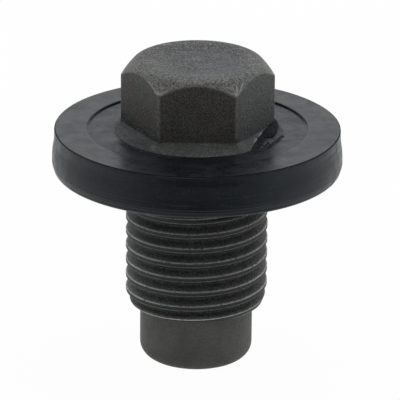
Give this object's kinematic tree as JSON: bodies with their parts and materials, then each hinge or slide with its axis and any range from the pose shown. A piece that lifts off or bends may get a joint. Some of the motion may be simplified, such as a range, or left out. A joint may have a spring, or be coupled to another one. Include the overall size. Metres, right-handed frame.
{
  "type": "oil drain plug",
  "caption": "Flanged hex-head drain plug with a fine rolled thread, a plain pilot nose and a rubber seal bonded round the flange.",
  "frame": {"origin": "centre of the pilot's flat end, on which the plug stands", "axes": "+Z along the plug's axis, from the pilot to the hex head; -Y is the side that faces the viewer, square to one flat of the hex"},
  "size_m": [0.0282, 0.028, 0.0305],
  "materials": {
    "steel": "dark phosphate, worn bright on the edges",
    "rubber": "satin"
  },
  "bodies": {
    "root": {"plug_body": "steel", "rubber_seal": "rubber"}
  },
  "joints": []
}
